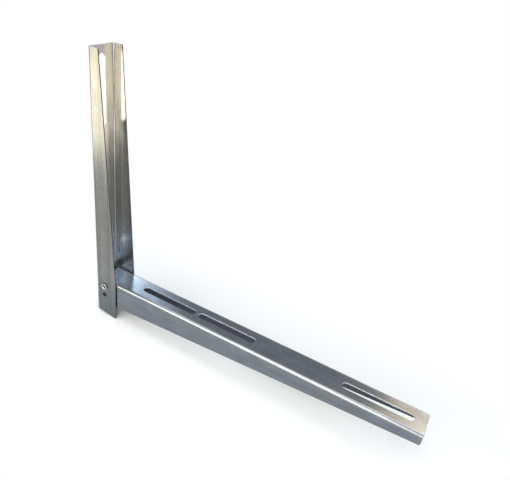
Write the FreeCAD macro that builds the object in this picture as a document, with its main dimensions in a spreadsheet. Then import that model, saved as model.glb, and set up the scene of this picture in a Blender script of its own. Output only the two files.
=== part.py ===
import FreeCAD, Part
import math
import os
import Sketcher
from FreeCAD import Rotation, Vector

# Folding wall bracket that carries one side of an air conditioner's outdoor unit.
# Two folded channels of galvanised sheet: a tall wall rail, open to the room, and a
# support arm, open downwards, which sits between the rail's flanges and swings on two
# semi-tubular rivets. A bolt through the hole under each rivet locks the arm level.
# Frame: X away from the wall, Y along the wall, Z up. The origin is on the wall, on
# the middle line of the rail and level with the top of the arm.

SIZES = (
    ("sheet_thickness", 1.5, "sheet of the rail and the arm"),
    ("bend_radius", 1.5, "inside radius of every fold"),
    ("side_clearance", 0.3, "rail flange to arm flange, on each side"),
    ("heel_clearance", 1.5, "rail web to the arm's heel, which has to pass the rail's folds"),
    ("rail_width", 40.0, "across the rail, outside"),
    ("rail_height", 360.0, "lowest corner to top edge"),
    ("rail_depth", 33.5, "flange depth from the wall, up to the arm's top"),
    ("rail_top_depth", 14.0, "flange depth from the wall, at the top edge"),
    ("rail_below_seat", 59.5, "arm's top down to the rail's lowest corner"),
    ("foot_slant", 5.0, "drop of the flanges' lower edge from wall to free corner"),
    ("corner_radius", 1.0, "rounding of the flanges' free corners"),
    ("slot_width", 10.0, "all four slots"),
    ("slot_length", 83.5, "all four slots, end to end"),
    ("wall_slot_margin", 9.0, "rail's top edge to the upper end of its slot"),
    ("wall_hole_diameter", 10.0, "lower wall fixing"),
    ("wall_hole_rise", 36.0, "arm's top up to the lower wall fixing"),
    ("arm_length", 450.0, "wall to tip"),
    ("arm_depth", 41.2, "flange depth of the arm, taken at the wall"),
    ("arm_tip_depth", 14.8, "flange depth of the arm at its tip"),
    ("arm_web_setback", 8.7, "wall to the rear edge of the arm's top"),
    ("first_slot_reach", 68.0, "wall to the near end of the arm's first slot"),
    ("slot_gap", 5.0, "metal between the arm's first and second slots"),
    ("last_slot_margin", 13.0, "far end of the arm's last slot to the tip"),
    ("pivot_setback", 14.0, "wall to the pivot"),
    ("pivot_drop", 10.5, "arm's top down to the pivot"),
    ("lock_drop", 14.0, "pivot down to the locking hole"),
    ("lock_hole_diameter", 7.0, "locking hole, through rail and arm"),
    ("rivet_diameter", 6.0, "shank of the pivot rivets"),
    ("rivet_fit", 0.05, "radial room of the shank in the rail"),
    ("pivot_clearance", 0.08, "radial room of the shank in the arm"),
    ("head_clearance", 0.25, "arm flange to the rivet's inner head"),
    ("head_diameter", 10.5, "inner head of the rivet"),
    ("head_height", 2.0, "inner head, face to crown"),
    ("head_rim", 0.8, "inner head, straight part of its edge"),
    ("curl_diameter", 10.0, "rolled end of the rivet, outside the rail"),
    ("curl_height", 2.0, "rolled end, above the rail's face"),
    ("hollow_diameter", 3.6, "bore of the rivet's tubular end"),
    ("hollow_depth", 2.4, "bore, below the rail's outer face"),
)

# The sketcher's own numbers for the points of an edge, and for its two axes as edges.
START, END, CENTRE = range(1, 4)
SKETCH_X_AXIS, SKETCH_Y_AXIS = range(-1, -3, -1)
SKETCH_ORIGIN = (SKETCH_X_AXIS, START)
SAME_PLACE = 0.01  # mm, two points nearer than this are one corner


def make_sheet(doc):
    """Write the driving dimensions into a spreadsheet: name, value and meaning."""
    sheet = doc.addObject("Spreadsheet::Sheet", "Sizes")
    for row, (alias, number, meaning) in enumerate(SIZES, start=1):
        sheet.set(f"A{row}", alias)
        sheet.set(f"B{row}", str(number))
        sheet.set(f"C{row}", meaning)
        sheet.setAlias(f"B{row}", alias)
    doc.recompute()


def value(feature, expression):
    """Number that an expression on the sheet has now."""
    return float(feature.evalExpression(expression))


def make_body(doc, name):
    """One rigid piece, named as its file."""
    body = doc.addObject("PartDesign::Body", name)
    body.Label = name
    return body


def make_sketch(body, name, plane, turn=0.0, lift="0"):
    """Empty sketch on one of the body's own origin planes, turned and lifted on it."""
    sketch = body.newObject("Sketcher::SketchObject", name)
    support = [item for item in body.Origin.OriginFeatures if item.Role == plane]
    sketch.AttachmentSupport = (support[0], "")
    sketch.MapMode = "FlatFace"
    sketch.AttachmentOffset = FreeCAD.Placement(Vector(0, 0, 0), Rotation(Vector(0, 0, 1), turn))
    if lift != "0":
        sketch.setExpression("AttachmentOffset.Base.z", lift)
    return sketch


def bind(sketch, kind, where, expression):
    """Add a dimension to the sketch and drive it from the sheet."""
    number = value(sketch, expression)
    index = sketch.addConstraint(Sketcher.Constraint(kind, *where, number))
    sketch.setExpression(f"Constraints[{index}]", expression)


def tie(sketch, kind, *where):
    """Add a geometric constraint without a number."""
    sketch.addConstraint(Sketcher.Constraint(kind, *where))


def place_point(sketch, point, across, up):
    """Hold a point at two distances from the sketch's origin, either of them zero."""
    for kind, axis, distance in (("DistanceX", SKETCH_Y_AXIS, across), ("DistanceY", SKETCH_X_AXIS, up)):
        if distance == "0":
            tie(sketch, "PointOnObject", *point, axis)
        else:
            bind(sketch, kind, (*SKETCH_ORIGIN, *point), distance)


def add_line(sketch, start, end):
    """Straight edge between two (x, y) places."""
    return sketch.addGeometry(Part.LineSegment(Vector(*start, 0), Vector(*end, 0)), False)


def add_arc(sketch, centre, radius, first, last):
    """Round edge, counterclockwise from the first to the last angle in degrees."""
    circle = Part.Circle(Vector(*centre, 0), Vector(0, 0, 1), radius)
    return sketch.addGeometry(Part.ArcOfCircle(circle, math.radians(first), math.radians(last)), False)


def draw_polygon(sketch, corners):
    """Closed outline of straight edges, each corner a pair of expressions."""
    places = [(value(sketch, across), value(sketch, up)) for across, up in corners]
    edges = [add_line(sketch, place, places[(n + 1) % len(places)]) for n, place in enumerate(places)]
    for n, edge in enumerate(edges):
        tie(sketch, "Coincident", edge, END, edges[(n + 1) % len(edges)], START)
        place_point(sketch, (edge, START), *corners[n])


def draw_channel(sketch, width, depth):
    """Folded U section: web on the sketch's Y axis, flanges towards +X."""
    inner = value(sketch, "Sizes.bend_radius")
    outer = value(sketch, "Sizes.bend_radius + Sizes.sheet_thickness")
    half = value(sketch, width) / 2
    reach = value(sketch, depth)
    wall = outer - inner

    lower_flange = add_line(sketch, (reach, -half), (outer, -half))
    lower_bend = add_arc(sketch, (outer, outer - half), outer, 180, 270)
    web = add_line(sketch, (0, outer - half), (0, half - outer))
    upper_bend = add_arc(sketch, (outer, half - outer), outer, 90, 180)
    upper_flange = add_line(sketch, (outer, half), (reach, half))
    upper_end = add_line(sketch, (reach, half), (reach, half - wall))
    upper_inside = add_line(sketch, (reach, half - wall), (outer, half - wall))
    upper_hollow = add_arc(sketch, (outer, half - outer), inner, 90, 180)
    web_inside = add_line(sketch, (wall, half - outer), (wall, outer - half))
    lower_hollow = add_arc(sketch, (outer, outer - half), inner, 180, 270)
    lower_inside = add_line(sketch, (outer, wall - half), (reach, wall - half))
    lower_end = add_line(sketch, (reach, wall - half), (reach, -half))

    for flange in (lower_flange, upper_flange, upper_inside, lower_inside):
        tie(sketch, "Horizontal", flange)
    for upright in (web, web_inside, upper_end, lower_end):
        tie(sketch, "Vertical", upright)
    tie(sketch, "Coincident", upper_flange, END, upper_end, START)
    tie(sketch, "Coincident", upper_end, END, upper_inside, START)
    tie(sketch, "Coincident", lower_inside, END, lower_end, START)
    tie(sketch, "Coincident", lower_end, END, lower_flange, START)
    tie(sketch, "Tangent", lower_flange, END, lower_bend, END)
    tie(sketch, "Tangent", lower_bend, START, web, START)
    tie(sketch, "Tangent", web, END, upper_bend, END)
    tie(sketch, "Tangent", upper_bend, START, upper_flange, START)
    tie(sketch, "Tangent", upper_inside, END, upper_hollow, START)
    tie(sketch, "Tangent", upper_hollow, END, web_inside, START)
    tie(sketch, "Tangent", web_inside, END, lower_hollow, START)
    tie(sketch, "Tangent", lower_hollow, END, lower_inside, START)
    tie(sketch, "Coincident", lower_bend, CENTRE, lower_hollow, CENTRE)
    tie(sketch, "Coincident", upper_bend, CENTRE, upper_hollow, CENTRE)
    tie(sketch, "Symmetric", web, START, web, END, *SKETCH_ORIGIN)
    tie(sketch, "Equal", lower_flange, upper_flange)
    tie(sketch, "Equal", lower_bend, upper_bend)
    bind(sketch, "Radius", (upper_hollow,), "Sizes.bend_radius")
    bind(sketch, "Radius", (upper_bend,), "Sizes.bend_radius + Sizes.sheet_thickness")
    bind(sketch, "DistanceY", (lower_flange, START, upper_flange, END), width)
    bind(sketch, "DistanceX", (*SKETCH_ORIGIN, upper_end, START), depth)


def draw_slot(sketch, middle):
    """Round-ended slot along the sketch's X axis, its middle at an expression."""
    centre = value(sketch, middle)
    half_width = value(sketch, "Sizes.slot_width / 2")
    half_run = value(sketch, "Sizes.slot_length / 2") - half_width
    left, right = centre - half_run, centre + half_run

    left_end = add_arc(sketch, (left, 0), half_width, 90, 270)
    lower_side = add_line(sketch, (left, -half_width), (right, -half_width))
    right_end = add_arc(sketch, (right, 0), half_width, -90, 90)
    upper_side = add_line(sketch, (right, half_width), (left, half_width))

    tie(sketch, "Tangent", left_end, END, lower_side, START)
    tie(sketch, "Tangent", lower_side, END, right_end, START)
    tie(sketch, "Tangent", right_end, END, upper_side, START)
    tie(sketch, "Tangent", upper_side, END, left_end, START)
    tie(sketch, "Equal", left_end, right_end)
    bind(sketch, "Radius", (right_end,), "Sizes.slot_width / 2")
    run = "(Sizes.slot_length - Sizes.slot_width) / 2"
    place_point(sketch, (left_end, CENTRE), f"{middle} - {run}", "0")
    place_point(sketch, (right_end, CENTRE), f"{middle} + {run}", "0")


def draw_circle(sketch, across, up, diameter):
    """Round hole at two expressions."""
    place = Vector(value(sketch, across), value(sketch, up), 0)
    circle = Part.Circle(place, Vector(0, 0, 1), value(sketch, diameter) / 2)
    hole = sketch.addGeometry(circle, False)
    bind(sketch, "Diameter", (hole,), diameter)
    place_point(sketch, (hole, CENTRE), across, up)


def pad(body, name, sketch, length):
    """Raise a section into the piece's first solid."""
    feature = body.newObject("PartDesign::Pad", name)
    feature.Profile = sketch
    feature.setExpression("Length", length)
    body.Document.recompute()


def cut(body, name, sketch, depth=None, reverse=False):
    """Pocket an outline through both flanges, or to a depth, and see that metal went."""
    before = body.Shape.Volume
    feature = body.newObject("PartDesign::Pocket", name)
    feature.Profile = sketch
    feature.Reversed = reverse
    if depth is None:
        feature.Type = "ThroughAll"
        feature.Midplane = True
    else:
        feature.setExpression("Length", depth)
    body.Document.recompute()
    if not body.Shape.Volume < before:
        raise RuntimeError(f"{name} cuts nothing")


def round_corners(body, name, places, radius):
    """Round the edges that cross the sheet at the given (x, z) corners of both flanges."""
    base = body.Tip
    picked = []
    for number, edge in enumerate(base.Shape.Edges, start=1):
        ends = [vertex.Point for vertex in edge.Vertexes]
        if any(all(math.hypot(end.x - x, end.z - z) < SAME_PLACE for end in ends) for x, z in places):
            picked.append(f"Edge{number}")
    if len(picked) != 2 * len(places):
        raise RuntimeError(f"{name} finds {len(picked)} edges")
    feature = body.newObject("PartDesign::Fillet", name)
    feature.Base = (base, picked)
    feature.setExpression("Radius", radius)
    body.Document.recompute()


def build_wall_rail(doc):
    """Rail: U channel against the wall, its flanges tapering towards the top."""
    body = make_body(doc, "wall_rail")
    body.setExpression("Placement.Base.z", "-Sizes.rail_below_seat")

    section = make_sketch(body, "rail_section", "XY_Plane")
    draw_channel(section, "Sizes.rail_width", "Sizes.rail_depth")
    pad(body, "rail_channel", section, "Sizes.rail_height")

    taper = make_sketch(body, "rail_taper_outline", "XZ_Plane")
    draw_polygon(taper, (
        ("Sizes.rail_depth", "Sizes.rail_below_seat"),
        ("Sizes.rail_depth", "Sizes.rail_height"),
        ("Sizes.rail_top_depth", "Sizes.rail_height"),
    ))
    cut(body, "rail_taper", taper)

    foot = make_sketch(body, "rail_foot_outline", "XZ_Plane")
    draw_polygon(foot, (
        ("0", "0"),
        ("Sizes.rail_depth", "0"),
        ("0", "Sizes.foot_slant"),
    ))
    cut(body, "rail_foot", foot)

    fixings = make_sketch(body, "wall_fixing_outlines", "YZ_Plane", turn=90.0)
    draw_slot(fixings, "Sizes.rail_height - Sizes.wall_slot_margin - Sizes.slot_length / 2")
    draw_circle(fixings, "Sizes.rail_below_seat + Sizes.wall_hole_rise", "0", "Sizes.wall_hole_diameter")
    cut(body, "wall_fixings", fixings, depth="Sizes.sheet_thickness", reverse=True)

    joints = make_sketch(body, "rail_joint_outlines", "XZ_Plane")
    draw_joint_holes(joints, "Sizes.rail_below_seat - Sizes.pivot_drop", "Sizes.rivet_fit")
    cut(body, "rail_joint_holes", joints)

    foot_corner = (value(body, "Sizes.rail_depth"), 0.0)
    top_corner = (value(body, "Sizes.rail_top_depth"), value(body, "Sizes.rail_height"))
    round_corners(body, "rail_corners", (foot_corner, top_corner), "Sizes.corner_radius")
    return body


def draw_joint_holes(sketch, pivot_height, room):
    """Rivet hole and the locking hole under it, seen from the side."""
    draw_circle(sketch, "Sizes.pivot_setback", pivot_height, f"Sizes.rivet_diameter + 2 * {room}")
    draw_circle(sketch, "Sizes.pivot_setback", f"{pivot_height} - Sizes.lock_drop", "Sizes.lock_hole_diameter")


def build_support_arm(doc):
    """Arm: U channel open downwards, deep at the wall and shallow at the tip."""
    body = make_body(doc, "support_arm")
    heel = "(Sizes.sheet_thickness + Sizes.heel_clearance)"

    section = make_sketch(body, "arm_section", "YZ_Plane", turn=-90.0, lift=heel)
    width = "(Sizes.rail_width - 2 * Sizes.sheet_thickness - 2 * Sizes.side_clearance)"
    draw_channel(section, width, "Sizes.arm_depth")
    pad(body, "arm_channel", section, f"Sizes.arm_length - {heel}")

    taper = make_sketch(body, "arm_taper_outline", "XZ_Plane")
    draw_polygon(taper, (
        ("0", "-Sizes.arm_depth"),
        ("Sizes.arm_length", "-Sizes.arm_depth"),
        ("Sizes.arm_length", "-Sizes.arm_tip_depth"),
    ))
    cut(body, "arm_taper", taper)

    rear = make_sketch(body, "arm_rear_outline", "XZ_Plane")
    draw_rear_corner(rear, heel)
    cut(body, "arm_rear", rear)

    slots = make_sketch(body, "foot_slot_outlines", "XY_Plane")
    for middle in (
        "Sizes.first_slot_reach + Sizes.slot_length / 2",
        "Sizes.first_slot_reach + Sizes.slot_length * 3 / 2 + Sizes.slot_gap",
        "Sizes.arm_length - Sizes.last_slot_margin - Sizes.slot_length / 2",
    ):
        draw_slot(slots, middle)
    cut(body, "foot_slots", slots, depth="Sizes.sheet_thickness")

    joints = make_sketch(body, "arm_joint_outlines", "XZ_Plane")
    draw_joint_holes(joints, "-Sizes.pivot_drop", "Sizes.pivot_clearance")
    cut(body, "arm_joint_holes", joints)
    return body


def draw_rear_corner(sketch, heel):
    """Corner that goes behind the pivot, so that the arm swings up past the rail's web."""
    rear = value(sketch, heel)
    front = value(sketch, "Sizes.arm_web_setback")
    drop = value(sketch, "Sizes.pivot_drop")
    radius = ((front - rear) ** 2 + drop ** 2) / (2 * (front - rear))
    top_angle = math.degrees(math.atan2(drop, front - rear - radius))

    round_edge = add_arc(sketch, (rear + radius, -drop), radius, top_angle, 180)
    back = add_line(sketch, (rear, -drop), (rear, 0))
    top = add_line(sketch, (rear, 0), (front, 0))
    tie(sketch, "Tangent", round_edge, END, back, START)
    tie(sketch, "Coincident", back, END, top, START)
    tie(sketch, "Coincident", top, END, round_edge, START)
    place_point(sketch, (back, START), heel, "-Sizes.pivot_drop")
    place_point(sketch, (top, START), heel, "0")
    place_point(sketch, (top, END), "Sizes.arm_web_setback", "0")


def build_pivot_rivet(doc, name, side):
    """Semi-tubular rivet: oval head inside the arm, rolled end outside the rail."""
    body = make_body(doc, name)
    turn = 90.0 if side < 0 else -90.0
    body.Placement = FreeCAD.Placement(Vector(0, 0, 0), Rotation(Vector(1, 0, 0), turn))
    body.setExpression("Placement.Base.x", "Sizes.pivot_setback")
    body.setExpression("Placement.Base.y", f"{side} * Sizes.rail_width / 2")
    body.setExpression("Placement.Base.z", "-Sizes.pivot_drop")

    profile = make_sketch(body, f"{name}_profile", "XZ_Plane")
    draw_rivet_profile(profile)
    turned = body.newObject("PartDesign::Revolution", f"{name}_turned")
    turned.Profile = profile
    turned.ReferenceAxis = (profile, ["V_Axis"])
    turned.Angle = 360.0
    doc.recompute()
    return body


def draw_rivet_profile(sketch):
    """Half section of the rivet, with the rail's outer face at the sketch's X axis."""
    shank = value(sketch, "Sizes.rivet_diameter / 2")
    bore = value(sketch, "Sizes.hollow_diameter / 2")
    floor = -value(sketch, "Sizes.hollow_depth")
    curl = value(sketch, "Sizes.curl_height / 2")
    crest = value(sketch, "Sizes.curl_diameter / 2") - curl
    flare = crest - bore
    face_expression = "-(2 * Sizes.sheet_thickness + Sizes.side_clearance + Sizes.head_clearance)"
    face = value(sketch, face_expression)
    head = value(sketch, "Sizes.head_diameter / 2")
    rim = face - value(sketch, "Sizes.head_rim")
    crown = face - value(sketch, "Sizes.head_height")
    dome_rise = rim - crown
    dome_radius = (head ** 2 + dome_rise ** 2) / (2 * dome_rise)
    dome_angle = math.degrees(math.asin(head / dome_radius))

    bore_floor = add_line(sketch, (0, floor), (bore, floor))
    bore_wall = add_line(sketch, (bore, floor), (bore, 2 * curl - flare))
    bell = add_arc(sketch, (crest, 2 * curl - flare), flare, 90, 180)
    roll = add_arc(sketch, (crest, curl), curl, -90, 90)
    seat = add_line(sketch, (crest, 0), (shank, 0))
    shank_side = add_line(sketch, (shank, 0), (shank, face))
    head_face = add_line(sketch, (shank, face), (head, face))
    head_edge = add_line(sketch, (head, face), (head, rim))
    dome = add_arc(sketch, (0, crown + dome_radius), dome_radius, -90, -90 + dome_angle)
    axis_side = add_line(sketch, (0, crown), (0, floor))

    tie(sketch, "Coincident", bore_floor, END, bore_wall, START)
    tie(sketch, "Tangent", bore_wall, END, bell, END)
    tie(sketch, "Tangent", bell, START, roll, END)
    tie(sketch, "Tangent", roll, START, seat, START)
    tie(sketch, "Coincident", seat, END, shank_side, START)
    tie(sketch, "Coincident", shank_side, END, head_face, START)
    tie(sketch, "Coincident", head_face, END, head_edge, START)
    tie(sketch, "Coincident", head_edge, END, dome, END)
    tie(sketch, "Coincident", dome, START, axis_side, START)
    tie(sketch, "Coincident", axis_side, END, bore_floor, START)
    for level in (bore_floor, head_face):
        tie(sketch, "Horizontal", level)
    for upright in (bore_wall, shank_side, head_edge):
        tie(sketch, "Vertical", upright)
    tie(sketch, "Vertical", roll, START, roll, END)
    tie(sketch, "PointOnObject", dome, CENTRE, SKETCH_Y_AXIS)
    bind(sketch, "Radius", (roll,), "Sizes.curl_height / 2")
    bind(sketch, "DistanceX", (*SKETCH_ORIGIN, seat, START), "(Sizes.curl_diameter - Sizes.curl_height) / 2")
    tie(sketch, "PointOnObject", seat, START, SKETCH_X_AXIS)
    place_point(sketch, (bore_floor, START), "0", "-Sizes.hollow_depth")
    bind(sketch, "DistanceX", (*SKETCH_ORIGIN, bore_wall, START), "Sizes.hollow_diameter / 2")
    place_point(sketch, (shank_side, START), "Sizes.rivet_diameter / 2", "0")
    place_point(sketch, (head_edge, START), "Sizes.head_diameter / 2", face_expression)
    bind(sketch, "DistanceY", (head_edge, END, head_edge, START), "Sizes.head_rim")
    place_point(sketch, (dome, START), "0", f"{face_expression} - Sizes.head_height")


def check_document(doc, bodies):
    """Stop if a feature failed, a sketch is loose or a piece has no sound solid."""
    for item in doc.Objects:
        if "Invalid" in item.State or "Error" in item.State:
            raise RuntimeError(f"{item.Label} failed: {item.State}")
        if item.TypeId == "Sketcher::SketchObject" and (item.solve() != 0 or not item.FullyConstrained):
            raise RuntimeError(f"{item.Label} isn't fully constrained")
    for body in bodies:
        if body.Shape.isNull() or not body.Shape.isValid() or len(body.Shape.Solids) != 1:
            raise RuntimeError(f"{body.Label} has no sound solid")


def main():
    """Build every piece and write one file for each."""
    doc = FreeCAD.newDocument("folding_wall_bracket")
    make_sheet(doc)
    bodies = [
        build_wall_rail(doc),
        build_support_arm(doc),
        build_pivot_rivet(doc, "pivot_rivet_left", -1),
        build_pivot_rivet(doc, "pivot_rivet_right", 1),
    ]
    doc.recompute()
    check_document(doc, bodies)
    os.makedirs("parts", exist_ok=True)
    for body in bodies:
        body.Shape.exportStep(f"parts/{body.Label}.step")


main()
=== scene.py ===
"""Looks of a folding wall bracket made of galvanised sheet steel.

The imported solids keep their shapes. This script gives them their finishes, and builds
the studio and the camera round them.
"""

import logging
import math
from dataclasses import dataclass
from enum import Enum
from typing import Any

import bmesh
import bpy
from mathutils import Matrix, Vector


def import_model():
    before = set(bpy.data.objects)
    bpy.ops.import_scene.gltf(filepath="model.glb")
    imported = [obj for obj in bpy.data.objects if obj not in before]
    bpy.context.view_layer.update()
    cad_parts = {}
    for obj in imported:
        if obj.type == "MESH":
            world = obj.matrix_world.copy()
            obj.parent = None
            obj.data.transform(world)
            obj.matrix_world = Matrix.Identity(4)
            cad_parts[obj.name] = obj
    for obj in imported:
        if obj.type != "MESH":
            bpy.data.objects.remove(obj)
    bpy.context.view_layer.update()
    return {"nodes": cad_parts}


LOG = logging.getLogger("wall_bracket")
MM = 0.001
NUMBER_A, NUMBER_B, MIXED_NUMBER = 2, 3, 0  # sockets of a Mix node that mixes numbers
COLOUR_A, COLOUR_B, MIXED_COLOUR = 6, 7, 2  # and of one that mixes colours
WHITE = (1.0, 1.0, 1.0, 1.0)
NOISE_LOW, NOISE_HIGH = 0.3, 0.7  # what a noise texture mostly stays between
WELD_MM = 0.001
SHARP_DEG = 50.0  # an edge that turns by more is rolled over
MARGIN_MM = 0.2  # room for the rolled edges
# Limits on one part of the outward direction, each with the width of its soft step.
FACING = (0.8, 0.1)
TURNED_AWAY = (0.5, 0.1)
HOLE_WALL = (0.9, 0.1)


class RollingAxis(Enum):
    """Direction in which the sheet went through the mill, as an index into X, Y and Z."""

    ALONG_X = 0
    ALONG_Z = 2


class Side(Enum):
    """Where a value has to lie, as whether its sign is dropped and whether it is above."""

    ABOVE = (False, True)
    BELOW = (False, False)
    BEYOND = (True, True)
    WITHIN = (True, False)


def linear(code: str) -> tuple[float, float, float, float]:
    """Turn an sRGB hex colour into linear light.

    Args:
        code: Six hex digits, with or without a leading #.

    Returns:
        Red, green, blue and an alpha of 1.
    """
    channels = [int(code.lstrip("#")[n:n + 2], 16) / 255 for n in (0, 2, 4)]
    red, green, blue = (
        part / 12.92 if part <= 0.04045 else ((part + 0.055) / 1.055) ** 2.4 for part in channels
    )
    return (red, green, blue, 1.0)


def add_node(tree: bpy.types.NodeTree, kind: str, feeds: dict[Any, Any] | None = None,
             **settings: Any) -> bpy.types.Node:
    """Add one shader node with its settings, values and links.

    Args:
        tree: Node tree of a material or of the world.
        kind: Blender's identifier of the node.
        feeds: Input name or index to a number, a colour, or an output socket to link.
        **settings: Attributes of the node itself.

    Returns:
        The new node.
    """
    node = tree.nodes.new(kind)
    for name, setting in settings.items():
        setattr(node, name, setting)
    for key, feed in (feeds or {}).items():
        if isinstance(feed, bpy.types.NodeSocket):
            tree.links.new(feed, node.inputs[key])
        else:
            node.inputs[key].default_value = feed
    return node


def combine(tree: bpy.types.NodeTree, first: Any, second: Any, operation: str) -> bpy.types.NodeSocket:
    """Join two numbers of a node tree.

    Args:
        tree: Node tree of a material or of the world.
        first: First number or socket.
        second: Second number or socket.
        operation: Math node's operation.

    Returns:
        Socket with the result.
    """
    return add_node(tree, "ShaderNodeMath", {0: first, 1: second}, operation=operation).outputs["Value"]


def seen_share(tree: bpy.types.NodeTree) -> bpy.types.NodeSocket:
    """Tell whether a surface is looked at, directly or in a mirror, and not only lighting another.

    Args:
        tree: Node tree of a material or of the world.

    Returns:
        Socket that is 1 for camera, glossy and transmission rays.
    """
    path = add_node(tree, "ShaderNodeLightPath")
    mirrored = combine(tree, path.outputs["Is Camera Ray"], path.outputs["Is Glossy Ray"], "MAXIMUM")
    return combine(tree, mirrored, path.outputs["Is Transmission Ray"], "MAXIMUM")


def round_edges(node: bpy.types.Object, radius_mm: float) -> None:
    """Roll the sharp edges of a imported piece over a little, as a press leaves them.

    Args:
        node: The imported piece, whose own mesh stays as it is.
        radius_mm: Width of the rounding.
    """
    weld = node.modifiers.new("weld", "WELD")
    weld.merge_threshold = WELD_MM * MM
    bevel = node.modifiers.new("rolled_edges", "BEVEL")
    bevel.width = radius_mm * MM
    bevel.segments = 2
    bevel.limit_method = "ANGLE"
    bevel.angle_limit = math.radians(SHARP_DEG)


def new_material(name: str) -> tuple[bpy.types.Material, bpy.types.NodeTree]:
    """Make an empty node material.

    Args:
        name: Name of the real material.

    Returns:
        The material and its cleared node tree.
    """
    material = bpy.data.materials.new(name)
    material.use_nodes = True
    material.node_tree.nodes.clear()
    return material, material.node_tree


def assign(target: bpy.types.Object, material: bpy.types.Material) -> None:
    """Give a piece one material in each of its slots.

    Args:
        target: Piece to dress.
        material: Finish for all of it.
    """
    if not target.material_slots:
        target.data.materials.append(material)
    for slot in target.material_slots:
        slot.material = material


@dataclass(frozen=True)
class Limit:
    """One comparison on a coordinate of the place or of the outward direction.

    Attributes:
        source: "place", whose limit is in millimetres, or "normal".
        axis: X, Y or Z.
        side: Where the value has to lie. Beyond and within count from zero, both ways.
        limit: Number to compare with.
        soft: Width of the soft step round the limit, in the limit's own unit.
    """

    source: str
    axis: str
    side: Side
    limit: float
    soft: float = 0.02


@dataclass(frozen=True)
class Region:
    """Part of a sheet that has its own tone and roughness.

    Edges and punched walls really differ from the plain sheet, and folds in roughness. On top
    of that the folds' lighter tone and the punched walls' extra brightness are painted
    highlights, and the rail's edges are drawn dark at the sides and lighter on the top rim as
    painted shade and light. The other regions are one and the same zinc, and their tones are
    painted light and shade, standing for what it would mirror in a room.

    Attributes:
        groups: The region is where all the limits of any one group hold.
        colour_hex: Its metal's colour.
        roughness: Its roughness.
    """

    groups: tuple[tuple[Limit, ...], ...]
    colour_hex: str
    roughness: float

    def mask(self, tree: bpy.types.NodeTree, place: bpy.types.NodeSocket,
             normal: bpy.types.NodeSocket) -> bpy.types.NodeSocket:
        """Turn the region into nodes.

        Args:
            tree: Node tree of the material.
            place: Object coordinates in metres.
            normal: Outward direction in object space.

        Returns:
            Socket that is 1 inside the region and 0 outside.
        """
        parts = {
            "place": add_node(tree, "ShaderNodeSeparateXYZ", {0: place}),
            "normal": add_node(tree, "ShaderNodeSeparateXYZ", {0: normal}),
        }
        whole: bpy.types.NodeSocket | None = None
        for group in self.groups:
            joined: bpy.types.NodeSocket | None = None
            for rule in group:
                absolute, above = rule.side.value
                number = parts[rule.source].outputs[rule.axis]
                if absolute:
                    unsigned = add_node(tree, "ShaderNodeMath", {0: number}, operation="ABSOLUTE")
                    number = unsigned.outputs["Value"]
                unit = MM if rule.source == "place" else 1.0
                low, high = (rule.limit - rule.soft / 2) * unit, (rule.limit + rule.soft / 2) * unit
                if not above:
                    low, high = high, low
                test = add_node(tree, "ShaderNodeMapRange", {
                    "Value": number, "From Min": low, "From Max": high,
                }, interpolation_type="SMOOTHSTEP").outputs["Result"]
                joined = test if joined is None else combine(tree, joined, test, "MULTIPLY")
            whole = joined if whole is None else combine(tree, whole, joined, "MAXIMUM")
        return whole


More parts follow.
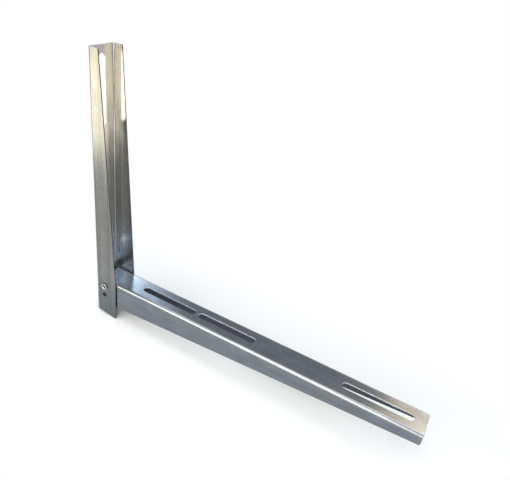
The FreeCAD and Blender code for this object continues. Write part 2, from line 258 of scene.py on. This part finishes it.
@dataclass(frozen=True)
class GalvanisedSheet:
    """Hot-dip galvanised sheet, skin-passed in the mill.

    It gives the eye a cool grey mirror, a little blurred, with fine streaks along the
    rolling direction, cloudy zinc and a soft waviness that bends what it mirrors. Folds
    carry a painted highlight, sheared edges are dull, and punched walls are bare steel
    with a painted highlight on them.
    """

    name: str
    colour_hex: str
    axis: RollingAxis
    regions: tuple[Region, ...]
    clouds: tuple[float, float]  # factors of the colour at the dark and at the light end
    streaks: tuple[float, float]
    bands: tuple[float, float] = (0.93, 1.06)
    mottle: tuple[float, float] = (0.93, 1.07)
    streak_wear: tuple[float, float] = (0.85, 1.2)  # the same, of the roughness
    cloud_wear: tuple[float, float] = (1.08, 0.93)
    roughness: float = 0.19
    streak_width_mm: float = 1.6  # real ones are finer than a pixel, so they are drawn wider
    streak_length_mm: float = 110.0
    streak_height_mm: float = 0.006
    band_width_mm: float = 5.0
    band_stretch: float = 3.0  # length, in streak lengths
    cloud_mm: float = 22.0
    mottle_mm: float = 2.6
    mottle_stretch: float = 1.6  # length, in its own widths
    wave_mm: float = 35.0
    wave_height_mm: float = 0.06
    octave_share: float = 0.55  # strength of each finer octave, in the one before

    def noise(self, tree: bpy.types.NodeTree, place: bpy.types.NodeSocket, across_mm: float,
              along_mm: float, detail: float) -> bpy.types.NodeSocket:
        """Add a noise of a real size, drawn out along the sheet.

        Args:
            tree: Node tree of the material.
            place: Object coordinates.
            across_mm: Width of one patch.
            along_mm: Length of one patch, along the rolling direction.
            detail: Finer octaves on top.

        Returns:
            The noise, about 0.3 to 0.7.
        """
        scale = [1 / (across_mm * MM)] * 3
        scale[self.axis.value] = 1 / (along_mm * MM)
        mapping = add_node(tree, "ShaderNodeMapping", {"Vector": place, "Scale": scale})
        noise = add_node(tree, "ShaderNodeTexNoise", {
            "Vector": mapping.outputs["Vector"], "Scale": 1.0, "Detail": detail,
            "Roughness": self.octave_share,
        })
        return noise.outputs["Fac"]

    def shade(self, tree: bpy.types.NodeTree,
              patterns: tuple[tuple[bpy.types.NodeSocket, float, float], ...]) -> bpy.types.NodeSocket:
        """Multiply patterns into one factor for the metal's colour or roughness.

        Args:
            tree: Node tree of the material.
            patterns: Noise, and its factor at the dark and at the light end.

        Returns:
            Socket with the product.
        """
        product: bpy.types.NodeSocket | None = None
        for pattern, dark, light in patterns:
            factor = add_node(tree, "ShaderNodeMapRange", {
                "Value": pattern, "From Min": NOISE_LOW, "From Max": NOISE_HIGH,
                "To Min": dark, "To Max": light,
            }).outputs["Result"]
            product = factor if product is None else combine(tree, product, factor, "MULTIPLY")
        return product

    def build(self) -> bpy.types.Material:
        """Make the material for one folded piece.

        Returns:
            The finished material.
        """
        material, tree = new_material(self.name)
        coordinates = add_node(tree, "ShaderNodeTexCoord")
        place = coordinates.outputs["Object"]
        normal = coordinates.outputs["Normal"]

        colour_rgb = add_node(tree, "ShaderNodeRGB")
        colour_rgb.outputs[0].default_value = linear(self.colour_hex)
        colour = colour_rgb.outputs[0]
        unworn: Any = self.roughness
        for region in self.regions:
            mask = region.mask(tree, place, normal)
            colour = add_node(tree, "ShaderNodeMix", {
                0: mask, COLOUR_A: colour, COLOUR_B: linear(region.colour_hex),
            }, data_type="RGBA").outputs[MIXED_COLOUR]
            unworn = add_node(tree, "ShaderNodeMix", {
                0: mask, NUMBER_A: unworn, NUMBER_B: region.roughness,
            }, data_type="FLOAT").outputs[MIXED_NUMBER]

        band_length_mm = self.streak_length_mm * self.band_stretch
        mottle_length_mm = self.mottle_mm * self.mottle_stretch
        streaks = self.noise(tree, place, self.streak_width_mm, self.streak_length_mm, detail=3.0)
        bands = self.noise(tree, place, self.band_width_mm, band_length_mm, detail=1.0)
        clouds = self.noise(tree, place, self.cloud_mm, self.cloud_mm, detail=4.0)
        mottle = self.noise(tree, place, self.mottle_mm, mottle_length_mm, detail=2.0)
        shade = self.shade(tree, (
            (streaks, *self.streaks), (bands, *self.bands), (clouds, *self.clouds), (mottle, *self.mottle),
        ))
        zinc = add_node(tree, "ShaderNodeVectorMath", {0: colour, "Scale": shade}, operation="SCALE")
        wear = self.shade(tree, ((streaks, *self.streak_wear), (clouds, *self.cloud_wear)))
        roughness = combine(tree, unworn, wear, "MULTIPLY")

        waviness = add_node(tree, "ShaderNodeTexNoise", {
            "Vector": place, "Scale": 1 / (self.wave_mm * MM), "Detail": 1.0,
        })
        waves = add_node(tree, "ShaderNodeBump", {
            "Height": waviness.outputs["Fac"], "Strength": 1.0, "Distance": self.wave_height_mm * MM,
        })
        lines = add_node(tree, "ShaderNodeBump", {
            "Height": streaks, "Strength": 1.0, "Distance": self.streak_height_mm * MM,
            "Normal": waves.outputs["Normal"],
        })
        shader = add_node(tree, "ShaderNodeBsdfPrincipled", {
            "Base Color": zinc.outputs["Vector"], "Metallic": 1.0, "Roughness": roughness,
            "Normal": lines.outputs["Normal"],
        })
        add_node(tree, "ShaderNodeOutputMaterial", {"Surface": shader.outputs["BSDF"]})
        return material


@dataclass
class WallRail:
    """Upright channel that is bolted to the wall."""

    sheet_mm: float = 1.5
    half_width_mm: float = 20.0
    fold_mm: float = 3.0
    slot_reach_mm: float = 6.0
    edge_mm: float = 0.4
    outer_foot_mm: tuple[float, float] = (0.0, 110.0)  # where the tone changes, and how softly
    inner_middle_mm: tuple[float, float] = (222.0, 50.0)
    inner_foot_mm: tuple[float, float] = (60.0, 60.0)
    strip_top_mm: tuple[float, float] = (205.0, 20.0)
    strip_depth_mm: tuple[float, float] = (12.0, 6.0)
    fold_share: float = 0.6  # part of the fold that carries the painted highlight
    fold_soft_mm: float = 2.0
    outer_hex: str = "#848482"
    # painted shade: the rail's outer side is drawn darker towards its foot
    outer_foot_shade_hex: str = "#6A7074"
    # painted light: the same zinc as outside, drawn lighter on the rail's inner side
    inner_hex: str = "#A8A7A4"
    # painted shade: the inner side is drawn a little darker below its top
    inner_middle_shade_hex: str = "#A0A09E"
    # painted light: the inner side is drawn lighter and bluer near its foot
    inner_foot_lit_hex: str = "#AEB4BB"
    # painted reflection: a bright strip on the inner side along the free edges
    inner_edge_reflection_hex: str = "#D0D0CE"
    # painted highlight: the rail's folds are drawn lighter than its sheet
    fold_highlight_hex: str = "#A0A2A4"
    # painted shade and light: the dull cut edges are drawn dark where they face sideways and lighter on the
    # top rim
    sheared_hex: str = "#46484C"
    rim_hex: str = "#76777A"
    # bare punched steel, drawn lighter still as a painted highlight on the slot walls
    punched_steel_and_highlight_hex: str = "#C4C6C8"
    roughness: float = 0.17
    foot_roughness: float = 0.27
    fold_roughness: float = 0.3
    sheared_roughness: float = 0.4
    punched_roughness: float = 0.45

    def regions(self) -> tuple[Region, ...]:
        """List the places where the rail's tone isn't that of its outer side.

        Returns:
            Outer foot, inner side, its middle, the strip by its free edges, its foot, the
            foot's own strip, folds, sheared edges, top rim and punched walls. Each one
            lies over those before it.
        """
        outer_foot = (Limit("place", "Z", Side.BELOW, *self.outer_foot_mm),)
        inside = (
            Limit("place", "Y", Side.WITHIN, self.half_width_mm - self.sheet_mm / 2),
            Limit("place", "X", Side.ABOVE, self.sheet_mm / 2),
        )
        by_free_edge = Limit("place", "X", Side.ABOVE, *self.strip_depth_mm)
        inner_middle = inside + (Limit("place", "Z", Side.BELOW, *self.inner_middle_mm),)
        edge_strip = inside + (by_free_edge, Limit("place", "Z", Side.BELOW, *self.strip_top_mm))
        inner_foot = inside + (Limit("place", "Z", Side.BELOW, *self.inner_foot_mm),)
        foot_strip = inner_foot + (by_free_edge,)
        fold_reach_mm = self.fold_mm * self.fold_share
        near_fold = (
            Limit("place", "Y", Side.BEYOND, self.half_width_mm - fold_reach_mm, self.fold_soft_mm),
            Limit("place", "X", Side.BELOW, fold_reach_mm, self.fold_soft_mm),
        )
        free_edge = (
            Limit("normal", "Y", Side.WITHIN, *TURNED_AWAY),
            Limit("place", "X", Side.ABOVE, self.fold_mm + MARGIN_MM),
        )
        rim = (Limit("normal", "Z", Side.BEYOND, *FACING),)
        punched = (
            Limit("normal", "X", Side.WITHIN, *HOLE_WALL),
            Limit("place", "Y", Side.WITHIN, self.slot_reach_mm),
            Limit("place", "X", Side.BELOW, self.sheet_mm + MARGIN_MM),
        )
        return (
            Region((outer_foot,), self.outer_foot_shade_hex, self.roughness),
            Region((inside,), self.inner_hex, self.roughness),
            Region((inner_middle,), self.inner_middle_shade_hex, self.roughness),
            Region((edge_strip,), self.inner_edge_reflection_hex, self.roughness),
            Region((inner_foot,), self.inner_foot_lit_hex, self.foot_roughness),
            Region((foot_strip,), self.inner_edge_reflection_hex, self.foot_roughness),
            Region((near_fold,), self.fold_highlight_hex, self.fold_roughness),
            Region((free_edge,), self.sheared_hex, self.sheared_roughness),
            Region((rim,), self.rim_hex, self.sheared_roughness),
            Region((punched,), self.punched_steel_and_highlight_hex, self.punched_roughness),
        )

    def dress(self, node: bpy.types.Object) -> None:
        """Give the rail its sheet finish.

        Args:
            node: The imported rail.
        """
        finish = GalvanisedSheet(
            "galvanised_sheet_rail", self.outer_hex, RollingAxis.ALONG_Z, self.regions(),
            clouds=(0.93, 1.06), streaks=(0.86, 1.13),
        )
        assign(node, finish.build())
        round_edges(node, self.edge_mm)
        LOG.info("rail dressed")


@dataclass
class SupportArm:
    """Channel, open downwards, that carries the unit's feet."""

    sheet_mm: float = 1.5
    half_width_mm: float = 18.2
    fold_mm: float = 3.0
    slot_reach_mm: float = 6.0
    edge_mm: float = 0.4
    heel_end_mm: tuple[float, float] = (54.0, 40.0)  # where the tone changes, and how softly
    heel_facing: tuple[float, float] = (0.7, 0.4)
    flank_facing: tuple[float, float] = (0.85, 0.2)
    inner_flank_facing: tuple[float, float] = (0.7, 0.3)
    fold_soft_mm: float = 3.0
    outer_hex: str = "#82868D"
    # painted highlight: the arm's top is drawn lighter and bluer next to the wall
    heel_highlight_hex: str = "#C4CCD6"
    # painted shade: the arm's sides are drawn darker than its top
    flank_shade_hex: str = "#757A81"
    inner_hex: str = "#82868D"
    # painted shade: the flanks' inner sides are drawn much darker than the sheet
    inner_flank_shade_hex: str = "#4E525B"
    # painted highlight: the arm's folds are drawn lighter than its sheet
    fold_highlight_hex: str = "#A6A8AB"
    sheared_hex: str = "#5A5C60"
    # bare punched steel, drawn lighter still as a painted highlight on the slot walls
    punched_steel_and_highlight_hex: str = "#D4D6D8"
    heel_roughness: float = 0.22
    flank_roughness: float = 0.19
    inner_roughness: float = 0.35
    inner_flank_roughness: float = 0.5
    fold_roughness: float = 0.34
    sheared_roughness: float = 0.4
    punched_roughness: float = 0.45

    def regions(self) -> tuple[Region, ...]:
        """List the places where the arm's tone isn't that of its top.

        The flanks' inner sides are duller than the sheet is and carry painted shade, so that
        the slots look deep from above.

        Returns:
            Heel, flanks, inner side, the flanks' inner sides, folds, sheared edges with
            the ends, and punched walls. Each one lies over those before it.
        """
        skin_mm = self.half_width_mm - self.sheet_mm / 2
        heel = (
            Limit("normal", "Z", Side.ABOVE, *self.heel_facing),
            Limit("place", "X", Side.BELOW, *self.heel_end_mm),
        )
        flank = (
            Limit("normal", "Y", Side.BEYOND, *self.flank_facing),
            Limit("place", "Y", Side.BEYOND, skin_mm),
        )
        inside = (
            Limit("place", "Y", Side.WITHIN, skin_mm),
            Limit("place", "Z", Side.BELOW, -self.sheet_mm / 2),
        )
        inner_flank = inside + (Limit("normal", "Y", Side.BEYOND, *self.inner_flank_facing),)
        near_fold = (
            Limit("place", "Y", Side.BEYOND, self.half_width_mm - self.fold_mm, self.fold_soft_mm),
            Limit("place", "Z", Side.ABOVE, -self.fold_mm, self.fold_soft_mm),
        )
        lower_edge = (
            Limit("normal", "Y", Side.WITHIN, *TURNED_AWAY),
            Limit("place", "Z", Side.BELOW, -self.fold_mm - MARGIN_MM),
        )
        ends = (
            Limit("normal", "X", Side.BEYOND, *FACING),
            Limit("place", "Y", Side.BEYOND, self.slot_reach_mm),
        )
        punched = (
            Limit("normal", "Z", Side.WITHIN, *HOLE_WALL),
            Limit("place", "Y", Side.WITHIN, self.slot_reach_mm),
            Limit("place", "Z", Side.ABOVE, -self.sheet_mm - MARGIN_MM),
        )
        return (
            Region((heel,), self.heel_highlight_hex, self.heel_roughness),
            Region((flank,), self.flank_shade_hex, self.flank_roughness),
            Region((inside,), self.inner_hex, self.inner_roughness),
            Region((inner_flank,), self.inner_flank_shade_hex, self.inner_flank_roughness),
            Region((near_fold,), self.fold_highlight_hex, self.fold_roughness),
            Region((lower_edge, ends), self.sheared_hex, self.sheared_roughness),
            Region((punched,), self.punched_steel_and_highlight_hex, self.punched_roughness),
        )

    def dress(self, node: bpy.types.Object) -> None:
        """Give the arm its sheet finish.

        Args:
            node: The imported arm.
        """
        finish = GalvanisedSheet(
            "galvanised_sheet_arm", self.outer_hex, RollingAxis.ALONG_X, self.regions(),
            clouds=(0.88, 1.11), streaks=(0.94, 1.06),
        )
        assign(node, finish.build())
        round_edges(node, self.edge_mm)
        LOG.info("arm dressed")


@dataclass(frozen=True)
class PlatedSteel:
    """Zinc-plated rivet steel: bright, with a faint drawing grain."""

    name: str = "zinc_plated_rivet_steel"
    colour_hex: str = "#999B9A"
    roughness: float = 0.26
    grain_mm: float = 1.2
    grain: tuple[float, float] = (0.8, 1.1)  # factors of the colour at the dark and at the light end

    def build(self) -> bpy.types.Material:
        """Make the material.

        Returns:
            The finished material.
        """
        material, tree = new_material(self.name)
        coordinates = add_node(tree, "ShaderNodeTexCoord")
        grain = add_node(tree, "ShaderNodeTexNoise", {
            "Vector": coordinates.outputs["Object"], "Scale": 1 / (self.grain_mm * MM), "Detail": 2.0,
        })
        tone = add_node(tree, "ShaderNodeMapRange", {
            "Value": grain.outputs["Fac"], "From Min": NOISE_LOW, "From Max": NOISE_HIGH,
            "To Min": self.grain[0], "To Max": self.grain[1],
        })
        colour = add_node(tree, "ShaderNodeVectorMath", {
            0: linear(self.colour_hex)[:3], "Scale": tone.outputs["Result"],
        }, operation="SCALE")
        shader = add_node(tree, "ShaderNodeBsdfPrincipled", {
            "Base Color": colour.outputs["Vector"], "Metallic": 1.0, "Roughness": self.roughness,
        })
        add_node(tree, "ShaderNodeOutputMaterial", {"Surface": shader.outputs["BSDF"]})
        return material


@dataclass
class PivotRivets:
    """Pair of semi-tubular rivets on which the arm swings."""

    names: tuple[str, ...] = ("pivot_rivet_left", "pivot_rivet_right")
    finish: PlatedSteel = PlatedSteel()

    def dress(self, nodes: dict[str, bpy.types.Object]) -> None:
        """Give both rivets their plating.

        Args:
            nodes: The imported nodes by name.
        """
        material = self.finish.build()
        for name in self.names:
            assign(nodes[name], material)
            LOG.info("%s dressed", name)


@dataclass(frozen=True)
class Lamp:
    """Rectangular soft light that faces one point.

    Attributes:
        name: Name of the lamp.
        place: Its middle, in metres.
        target: Point that it faces.
        size: Width and height in metres.
        radiance: Brightness of its surface, where white paper in plain light is 1.
        colour_hex: Its colour.
    """

    name: str
    place: tuple[float, float, float]
    target: tuple[float, float, float]
    size: tuple[float, float]
    radiance: float
    colour_hex: str

    def build(self) -> None:
        """Put the lamp into the scene."""
        data = bpy.data.lights.new(self.name, "AREA")
        data.shape = "RECTANGLE"
        data.size, data.size_y = self.size
        data.energy = self.radiance * self.size[0] * self.size[1] * math.pi
        data.color = linear(self.colour_hex)[:3]
        lamp = bpy.data.objects.new(self.name, data)
        bpy.context.scene.collection.objects.link(lamp)
        lamp.visible_camera = False
        direction = Vector(self.target) - Vector(self.place)
        lamp.rotation_euler = direction.to_track_quat("-Z", "Y").to_euler()
        lamp.location = self.place
        LOG.info("lamp %s placed", self.name)


@dataclass
class Studio:
    """Pale floor, even surroundings, soft lamps and the camera."""

    floor_height: float = -0.0595
    floor_radius: float = 8.0
    floor_sides: int = 96
    floor_hex: str = "#F0F0F0"
    arm_end: float = 0.45
    shadow_reach: tuple[float, float] = (0.06, 0.2)  # from the arm's line, in metres
    ambient: float = 0.65
    horizon: tuple[float, float] = (0.1, 0.5)  # heights of a direction, from white to ceiling
    ceiling: tuple[float, float, float, float] = (0.53, 0.56, 0.58, 1.0)
    lamps: tuple[Lamp, ...] = (
        Lamp("low_front_panel", (0.03, -0.47, 0.071), (0.03, 0.0, 0.071), (1.3, 0.258), 3.4, "#FFF6D6"),
        Lamp("high_front_panel", (0.14, -0.56, 0.48), (0.16, 0.0, 0.0), (1.2, 0.58), 2.2, "#F4F9FF"),
        Lamp("overhead_panel", (0.12, -0.10, 0.80), (0.14, -0.02, 0.0), (1.2, 0.45), 1.7, "#F4F9FF"),
        Lamp("cool_rear_panel", (-0.655, 0.65, 0.72), (0.045, 0.0, 0.0), (0.5, 0.5), 1.7, "#D9EEFF"),
        Lamp("cool_side_lamp", (1.45, 1.74, 1.95), (0.01, 0.0, 0.06), (1.4, 1.4), 3.2, "#CDE2FF"),
        Lamp("warm_rear_panel", (0.56, 0.67, 0.71), (0.43, 0.0, 0.0), (0.26, 0.6), 2.3, "#FFE4AC"),
    )
    camera_place: tuple[float, float, float] = (0.39425, -0.42518, 0.41172)
    camera_view: tuple[float, float, float] = (-0.37347, 0.75137, -0.54403)
    camera_up: tuple[float, float, float] = (-0.35819, 0.42418, 0.83173)
    focal_px: float = 487.06
    centre_px: tuple[float, float] = (225.06, 255.31)
    image_px: tuple[float, float] = (510.0, 480.0)
    sensor_mm: float = 36.0

    def build_floor(self) -> None:
        """Lay the pale floor, which keeps the object's shadow."""
        mesh = bpy.data.meshes.new("floor")
        floor = bpy.data.objects.new("floor", mesh)
        bpy.context.scene.collection.objects.link(floor)
        shape = bmesh.new()
        bmesh.ops.create_circle(shape, cap_ends=True, segments=self.floor_sides, radius=self.floor_radius,
                                matrix=Matrix.Translation((0, 0, self.floor_height)))
        shape.to_mesh(mesh)
        shape.free()
        material, tree = new_material("matt_floor_paper")
        paper = add_node(tree, "ShaderNodeBsdfDiffuse", {"Color": linear(self.floor_hex)})
        white = add_node(tree, "ShaderNodeEmission", {"Color": WHITE, "Strength": 1.0})
        coordinates = add_node(tree, "ShaderNodeTexCoord")
        parts = add_node(tree, "ShaderNodeSeparateXYZ", {0: coordinates.outputs["Object"]})
        nearest = add_node(tree, "ShaderNodeClamp", {
            "Value": parts.outputs["X"], "Min": 0.0, "Max": self.arm_end,
        })
        along = combine(tree, parts.outputs["X"], nearest.outputs["Result"], "SUBTRACT")
        offset = add_node(tree, "ShaderNodeCombineXYZ", {"X": along, "Y": parts.outputs["Y"]})
        distance = add_node(tree, "ShaderNodeVectorMath", {0: offset.outputs["Vector"]}, operation="LENGTH")
        fade = add_node(tree, "ShaderNodeMapRange", {
            "Value": distance.outputs["Value"],
            "From Min": self.shadow_reach[0], "From Max": self.shadow_reach[1],
        }, interpolation_type="SMOOTHSTEP")
        share = combine(tree, seen_share(tree), fade.outputs["Result"], "MULTIPLY")
        both = add_node(tree, "ShaderNodeMixShader", {
            0: share, 1: paper.outputs["BSDF"], 2: white.outputs["Emission"],
        })
        add_node(tree, "ShaderNodeOutputMaterial", {"Surface": both.outputs["Shader"]})
        assign(floor, material)
        LOG.info("floor laid")

    def build_world(self) -> None:
        """Surround the object with even light, white at the horizon and greyer above."""
        world = bpy.data.worlds.new("studio")
        bpy.context.scene.world = world
        world.use_nodes = True
        tree = world.node_tree
        tree.nodes.clear()
        coordinates = add_node(tree, "ShaderNodeTexCoord")
        parts = add_node(tree, "ShaderNodeSeparateXYZ", {0: coordinates.outputs["Generated"]})
        height = add_node(tree, "ShaderNodeMapRange", {
            "Value": parts.outputs["Z"], "From Min": self.horizon[0], "From Max": self.horizon[1],
        }, interpolation_type="SMOOTHSTEP")
        sky = add_node(tree, "ShaderNodeMix", {
            0: height.outputs["Result"], COLOUR_A: WHITE, COLOUR_B: self.ceiling,
        }, data_type="RGBA")
        level = add_node(tree, "ShaderNodeMapRange", {"Value": seen_share(tree), "To Min": self.ambient})
        glow = add_node(tree, "ShaderNodeBackground", {
            "Color": sky.outputs[MIXED_COLOUR], "Strength": level.outputs["Result"],
        })
        add_node(tree, "ShaderNodeOutputWorld", {"Surface": glow.outputs["Background"]})
        LOG.info("surroundings lit")

    def build_camera(self) -> None:
        """Stand the camera where the photograph was taken."""
        data = bpy.data.cameras.new("camera")
        camera = bpy.data.objects.new("camera", data)
        bpy.context.scene.collection.objects.link(camera)
        view = Vector(self.camera_view).normalized()
        up = Vector(self.camera_up)
        up = (up - view * up.dot(view)).normalized()
        right = view.cross(up)
        turn = Matrix((right, up, -view)).transposed()
        camera.matrix_world = Matrix.Translation(self.camera_place) @ turn.to_4x4()
        width, height = self.image_px
        data.sensor_width = self.sensor_mm
        data.lens = self.focal_px / width * self.sensor_mm
        data.shift_x = (width / 2 - self.centre_px[0]) / width
        data.shift_y = (self.centre_px[1] - height / 2) / width
        data.clip_start = 0.01
        data.dof.use_dof = False
        bpy.context.scene.camera = camera
        LOG.info("camera placed")

    def build(self) -> None:
        """Build the whole studio."""
        self.build_floor()
        self.build_world()
        for lamp in self.lamps:
            lamp.build()
        self.build_camera()
        bpy.context.scene.view_settings.view_transform = "Standard"


def main() -> None:
    """Dress the bracket and build the studio."""
    logging.basicConfig(level=logging.INFO, format="%(name)s: %(message)s")
    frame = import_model()
    nodes = frame["nodes"]
    WallRail().dress(nodes["wall_rail"])
    SupportArm().dress(nodes["support_arm"])
    PivotRivets().dress(nodes)
    Studio().build()


if __name__ == "__main__":
    main()
